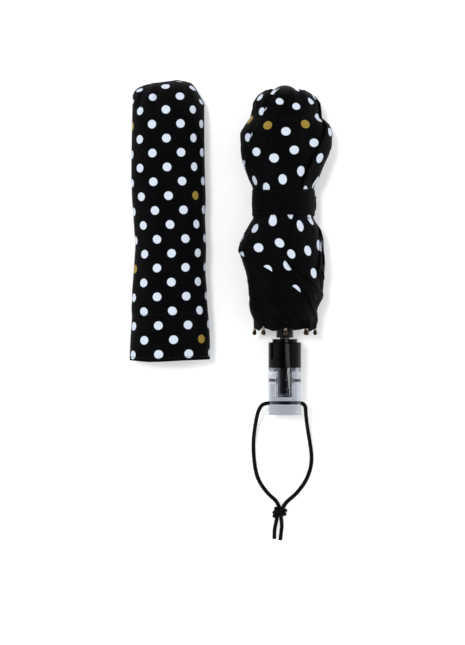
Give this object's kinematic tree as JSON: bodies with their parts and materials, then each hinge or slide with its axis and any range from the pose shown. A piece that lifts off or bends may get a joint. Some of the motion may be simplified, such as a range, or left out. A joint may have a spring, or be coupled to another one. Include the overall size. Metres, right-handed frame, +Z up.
{
  "type": "folding umbrella",
  "caption": "Pocket umbrella folded and strapped, with a dotted black canopy, telescopic shaft, clear grip, wrist cord and loose fabric sleeve.",
  "frame": {"origin": "on the surface it lies on, below the centre of the umbrella and its sleeve, without the wrist cord", "axes": "+Y along the shaft towards the crown, +Z up, +X from the sleeve towards the umbrella"},
  "size_m": [0.155, 0.3534, 0.054],
  "materials": {
    "clear_acrylic": "clear, polished",
    "gloss_black": "high gloss",
    "socket_black": "moulded, matte",
    "cap_black": "moulded, semi-gloss",
    "screw_steel": "zinc plated",
    "shaft_steel": "plated tube",
    "rib_steel": "plated sheet",
    "brass_wire": "satin",
    "dotted_fabric": "woven polyester with printed dots",
    "strap_fabric": "plain woven polyester",
    "cord_black": "braided"
  },
  "bodies": {
    "handle": {"clear_grip": "clear_acrylic", "grip_collar": "gloss_black", "shaft_socket": "socket_black", "grip_screws": "screw_steel", "lower_tube": "shaft_steel", "wrist_cord_in_hole": "cord_black", "wrist_cord_left": "cord_black", "wrist_cord_right": "cord_black", "wrist_cord_knot": "cord_black"},
    "middle_tube": {"middle_tube": "shaft_steel"},
    "canopy": {"top_tube": "shaft_steel", "top_notch": "socket_black", "notch_wire": "brass_wire", "top_cap": "cap_black", "strap": "strap_fabric", "strap_fastener": "strap_fabric", "canopy_gore_1": "dotted_fabric", "canopy_gore_2": "dotted_fabric", "canopy_gore_3": "dotted_fabric", "canopy_gore_4": "dotted_fabric", "canopy_gore_5": "dotted_fabric", "canopy_gore_6": "dotted_fabric", "canopy_gore_7": "dotted_fabric", "canopy_gore_8": "dotted_fabric"},
    "runner": {"runner": "socket_black"},
    "runner_catch": {"runner_catch": "shaft_steel"},
    "sleeve": {"sleeve": "dotted_fabric"},
    "rib_inner_1": {"rib_inner_1": "rib_steel"},
    "rib_middle_1": {"rib_middle_1": "rib_steel"},
    "rib_outer_1": {"rib_outer_1": "rib_steel"},
    "stretcher_1": {"stretcher_1": "rib_steel"},
    "rib_inner_2": {"rib_inner_2": "rib_steel"},
    "rib_middle_2": {"rib_middle_2": "rib_steel"},
    "rib_outer_2": {"rib_outer_2": "rib_steel"},
    "stretcher_2": {"stretcher_2": "rib_steel"},
    "rib_inner_3": {"rib_inner_3": "rib_steel"},
    "rib_middle_3": {"rib_middle_3": "rib_steel"},
    "rib_outer_3": {"rib_outer_3": "rib_steel"},
    "stretcher_3": {"stretcher_3": "rib_steel"},
    "rib_inner_4": {"rib_inner_4": "rib_steel"},
    "rib_middle_4": {"rib_middle_4": "rib_steel"},
    "rib_outer_4": {"rib_outer_4": "rib_steel"},
    "stretcher_4": {"stretcher_4": "rib_steel"},
    "rib_inner_5": {"rib_inner_5": "rib_steel"},
    "rib_middle_5": {"rib_middle_5": "rib_steel"},
    "rib_outer_5": {"rib_outer_5": "rib_steel"},
    "stretcher_5": {"stretcher_5": "rib_steel"},
    "rib_inner_6": {"rib_inner_6": "rib_steel"},
    "rib_middle_6": {"rib_middle_6": "rib_steel"},
    "rib_outer_6": {"rib_outer_6": "rib_steel"},
    "stretcher_6": {"stretcher_6": "rib_steel"},
    "rib_inner_7": {"rib_inner_7": "rib_steel"},
    "rib_middle_7": {"rib_middle_7": "rib_steel"},
    "rib_outer_7": {"rib_outer_7": "rib_steel"},
    "stretcher_7": {"stretcher_7": "rib_steel"},
    "rib_inner_8": {"rib_inner_8": "rib_steel"},
    "rib_middle_8": {"rib_middle_8": "rib_steel"},
    "rib_outer_8": {"rib_outer_8": "rib_steel"},
    "stretcher_8": {"stretcher_8": "rib_steel"}
  },
  "joints": [
    {"name": "shaft_lower_slide", "type": "slide", "parent": "handle", "child": "middle_tube", "axis": [0, 1, 0], "range_m": [0, 0.15]},
    {"name": "shaft_upper_slide", "type": "slide", "parent": "middle_tube", "child": "canopy", "axis": [0, 1, 0], "range_m": [0, 0.15]},
    {"name": "runner_slide", "type": "slide", "parent": "canopy", "child": "runner", "axis": [0, 1, 0], "range_m": [0, 0.122], "deforming": ["canopy_gore_1", "canopy_gore_2", "canopy_gore_3", "canopy_gore_4", "canopy_gore_5", "canopy_gore_6", "canopy_gore_7", "canopy_gore_8", "strap", "strap_fastener", "sleeve"]},
    {"name": "catch_flex", "type": "hinge", "parent": "canopy", "child": "runner_catch", "pos_m": [0.0392, 0.038, 0.03135], "axis": [0.9239, 0, 0.3827], "range_deg": [0, 6]},
    {"name": "sleeve_slide", "type": "slide", "parent": "handle", "child": "sleeve", "axis": [0, -1, 0], "range_m": [0, 0.06]},
    {"name": "rib_inner_hinge_1", "type": "hinge", "parent": "canopy", "child": "rib_inner_1", "pos_m": [0.049, 0.104, 0.027], "axis": [0, 0, 1], "range_deg": [0, 78]},
    {"name": "rib_middle_hinge_1", "type": "hinge", "parent": "rib_inner_1", "child": "rib_middle_1", "pos_m": [0.0516, -0.042, 0.027], "axis": [0, 0, 1], "range_deg": [-192, 0]},
    {"name": "rib_outer_hinge_1", "type": "hinge", "parent": "rib_middle_1", "child": "rib_outer_1", "pos_m": [0.0544, 0.102, 0.027], "axis": [0, 0, 1], "range_deg": [0, 166]},
    {"name": "stretcher_hinge_1", "type": "hinge", "parent": "rib_inner_1", "child": "stretcher_1", "pos_m": [0.049, 0.027, 0.027], "axis": [0, 0, 1], "range_deg": [-156, 0]},
    {"name": "rib_inner_hinge_2", "type": "hinge", "parent": "canopy", "child": "rib_inner_2", "pos_m": [0.04666, 0.104, 0.03266], "axis": [-0.7071, 0, 0.7071], "range_deg": [0, 78]},
    {"name": "rib_middle_hinge_2", "type": "hinge", "parent": "rib_inner_2", "child": "rib_middle_2", "pos_m": [0.0485, -0.042, 0.0345], "axis": [-0.7071, 0, 0.7071], "range_deg": [-192, 0]},
    {"name": "rib_outer_hinge_2", "type": "hinge", "parent": "rib_middle_2", "child": "rib_outer_2", "pos_m": [0.05048, 0.102, 0.03648], "axis": [-0.7071, 0, 0.7071], "range_deg": [0, 166]},
    {"name": "stretcher_hinge_2", "type": "hinge", "parent": "rib_inner_2", "child": "stretcher_2", "pos_m": [0.04666, 0.027, 0.03266], "axis": [-0.7071, 0, 0.7071], "range_deg": [-156, 0]},
    {"name": "rib_inner_hinge_3", "type": "hinge", "parent": "canopy", "child": "rib_inner_3", "pos_m": [0.041, 0.104, 0.035], "axis": [-1, 0, 0], "range_deg": [0, 78]},
    {"name": "rib_middle_hinge_3", "type": "hinge", "parent": "rib_inner_3", "child": "rib_middle_3", "pos_m": [0.041, -0.042, 0.0376], "axis": [-1, 0, 0], "range_deg": [-192, 0]},
    {"name": "rib_outer_hinge_3", "type": "hinge", "parent": "rib_middle_3", "child": "rib_outer_3", "pos_m": [0.041, 0.102, 0.0404], "axis": [-1, 0, 0], "range_deg": [0, 166]},
    {"name": "stretcher_hinge_3", "type": "hinge", "parent": "rib_inner_3", "child": "stretcher_3", "pos_m": [0.041, 0.027, 0.035], "axis": [-1, 0, 0], "range_deg": [-156, 0]},
    {"name": "rib_inner_hinge_4", "type": "hinge", "parent": "canopy", "child": "rib_inner_4", "pos_m": [0.03534, 0.104, 0.03266], "axis": [-0.7071, 0, -0.7071], "range_deg": [0, 78]},
    {"name": "rib_middle_hinge_4", "type": "hinge", "parent": "rib_inner_4", "child": "rib_middle_4", "pos_m": [0.0335, -0.042, 0.0345], "axis": [-0.7071, 0, -0.7071], "range_deg": [-192, 0]},
    {"name": "rib_outer_hinge_4", "type": "hinge", "parent": "rib_middle_4", "child": "rib_outer_4", "pos_m": [0.03152, 0.102, 0.03648], "axis": [-0.7071, 0, -0.7071], "range_deg": [0, 166]},
    {"name": "stretcher_hinge_4", "type": "hinge", "parent": "rib_inner_4", "child": "stretcher_4", "pos_m": [0.03534, 0.027, 0.03266], "axis": [-0.7071, 0, -0.7071], "range_deg": [-156, 0]},
    {"name": "rib_inner_hinge_5", "type": "hinge", "parent": "canopy", "child": "rib_inner_5", "pos_m": [0.033, 0.104, 0.027], "axis": [0, 0, -1], "range_deg": [0, 78]},
    {"name": "rib_middle_hinge_5", "type": "hinge", "parent": "rib_inner_5", "child": "rib_middle_5", "pos_m": [0.0304, -0.042, 0.027], "axis": [0, 0, -1], "range_deg": [-192, 0]},
    {"name": "rib_outer_hinge_5", "type": "hinge", "parent": "rib_middle_5", "child": "rib_outer_5", "pos_m": [0.0276, 0.102, 0.027], "axis": [0, 0, -1], "range_deg": [0, 166]},
    {"name": "stretcher_hinge_5", "type": "hinge", "parent": "rib_inner_5", "child": "stretcher_5", "pos_m": [0.033, 0.027, 0.027], "axis": [0, 0, -1], "range_deg": [-156, 0]},
    {"name": "rib_inner_hinge_6", "type": "hinge", "parent": "canopy", "child": "rib_inner_6", "pos_m": [0.03534, 0.104, 0.02134], "axis": [0.7071, 0, -0.7071], "range_deg": [0, 78]},
    {"name": "rib_middle_hinge_6", "type": "hinge", "parent": "rib_inner_6", "child": "rib_middle_6", "pos_m": [0.0335, -0.042, 0.0195], "axis": [0.7071, 0, -0.7071], "range_deg": [-192, 0]},
    {"name": "rib_outer_hinge_6", "type": "hinge", "parent": "rib_middle_6", "child": "rib_outer_6", "pos_m": [0.03152, 0.102, 0.01752], "axis": [0.7071, 0, -0.7071], "range_deg": [0, 166]},
    {"name": "stretcher_hinge_6", "type": "hinge", "parent": "rib_inner_6", "child": "stretcher_6", "pos_m": [0.03534, 0.027, 0.02134], "axis": [0.7071, 0, -0.7071], "range_deg": [-156, 0]},
    {"name": "rib_inner_hinge_7", "type": "hinge", "parent": "canopy", "child": "rib_inner_7", "pos_m": [0.041, 0.104, 0.019], "axis": [1, 0, 0], "range_deg": [0, 78]},
    {"name": "rib_middle_hinge_7", "type": "hinge", "parent": "rib_inner_7", "child": "rib_middle_7", "pos_m": [0.041, -0.042, 0.0164], "axis": [1, 0, 0], "range_deg": [-192, 0]},
    {"name": "rib_outer_hinge_7", "type": "hinge", "parent": "rib_middle_7", "child": "rib_outer_7", "pos_m": [0.041, 0.102, 0.0136], "axis": [1, 0, 0], "range_deg": [0, 166]},
    {"name": "stretcher_hinge_7", "type": "hinge", "parent": "rib_inner_7", "child": "stretcher_7", "pos_m": [0.041, 0.027, 0.019], "axis": [1, 0, 0], "range_deg": [-156, 0]},
    {"name": "rib_inner_hinge_8", "type": "hinge", "parent": "canopy", "child": "rib_inner_8", "pos_m": [0.04666, 0.104, 0.02134], "axis": [0.7071, 0, 0.7071], "range_deg": [0, 78]},
    {"name": "rib_middle_hinge_8", "type": "hinge", "parent": "rib_inner_8", "child": "rib_middle_8", "pos_m": [0.0485, -0.042, 0.0195], "axis": [0.7071, 0, 0.7071], "range_deg": [-192, 0]},
    {"name": "rib_outer_hinge_8", "type": "hinge", "parent": "rib_middle_8", "child": "rib_outer_8", "pos_m": [0.05048, 0.102, 0.01752], "axis": [0.7071, 0, 0.7071], "range_deg": [0, 166]},
    {"name": "stretcher_hinge_8", "type": "hinge", "parent": "rib_inner_8", "child": "stretcher_8", "pos_m": [0.04666, 0.027, 0.02134], "axis": [0.7071, 0, 0.7071], "range_deg": [-156, 0]}
  ],
  "couplings": [
    {"joint": "rib_inner_hinge_1", "follows": "runner_slide", "rad_per_m": 11.159},
    {"joint": "rib_middle_hinge_1", "follows": "runner_slide", "rad_per_m": -27.467},
    {"joint": "rib_outer_hinge_1", "follows": "runner_slide", "rad_per_m": 23.748},
    {"joint": "stretcher_hinge_1", "follows": "runner_slide", "rad_per_m": -22.317},
    {"joint": "rib_inner_hinge_2", "follows": "runner_slide", "rad_per_m": 11.159},
    {"joint": "rib_middle_hinge_2", "follows": "runner_slide", "rad_per_m": -27.467},
    {"joint": "rib_outer_hinge_2", "follows": "runner_slide", "rad_per_m": 23.748},
    {"joint": "stretcher_hinge_2", "follows": "runner_slide", "rad_per_m": -22.317},
    {"joint": "rib_inner_hinge_3", "follows": "runner_slide", "rad_per_m": 11.159},
    {"joint": "rib_middle_hinge_3", "follows": "runner_slide", "rad_per_m": -27.467},
    {"joint": "rib_outer_hinge_3", "follows": "runner_slide", "rad_per_m": 23.748},
    {"joint": "stretcher_hinge_3", "follows": "runner_slide", "rad_per_m": -22.317},
    {"joint": "rib_inner_hinge_4", "follows": "runner_slide", "rad_per_m": 11.159},
    {"joint": "rib_middle_hinge_4", "follows": "runner_slide", "rad_per_m": -27.467},
    {"joint": "rib_outer_hinge_4", "follows": "runner_slide", "rad_per_m": 23.748},
    {"joint": "stretcher_hinge_4", "follows": "runner_slide", "rad_per_m": -22.317},
    {"joint": "rib_inner_hinge_5", "follows": "runner_slide", "rad_per_m": 11.159},
    {"joint": "rib_middle_hinge_5", "follows": "runner_slide", "rad_per_m": -27.467},
    {"joint": "rib_outer_hinge_5", "follows": "runner_slide", "rad_per_m": 23.748},
    {"joint": "stretcher_hinge_5", "follows": "runner_slide", "rad_per_m": -22.317},
    {"joint": "rib_inner_hinge_6", "follows": "runner_slide", "rad_per_m": 11.159},
    {"joint": "rib_middle_hinge_6", "follows": "runner_slide", "rad_per_m": -27.467},
    {"joint": "rib_outer_hinge_6", "follows": "runner_slide", "rad_per_m": 23.748},
    {"joint": "stretcher_hinge_6", "follows": "runner_slide", "rad_per_m": -22.317},
    {"joint": "rib_inner_hinge_7", "follows": "runner_slide", "rad_per_m": 11.159},
    {"joint": "rib_middle_hinge_7", "follows": "runner_slide", "rad_per_m": -27.467},
    {"joint": "rib_outer_hinge_7", "follows": "runner_slide", "rad_per_m": 23.748},
    {"joint": "stretcher_hinge_7", "follows": "runner_slide", "rad_per_m": -22.317},
    {"joint": "rib_inner_hinge_8", "follows": "runner_slide", "rad_per_m": 11.159},
    {"joint": "rib_middle_hinge_8", "follows": "runner_slide", "rad_per_m": -27.467},
    {"joint": "rib_outer_hinge_8", "follows": "runner_slide", "rad_per_m": 23.748},
    {"joint": "stretcher_hinge_8", "follows": "runner_slide", "rad_per_m": -22.317}
  ]
}
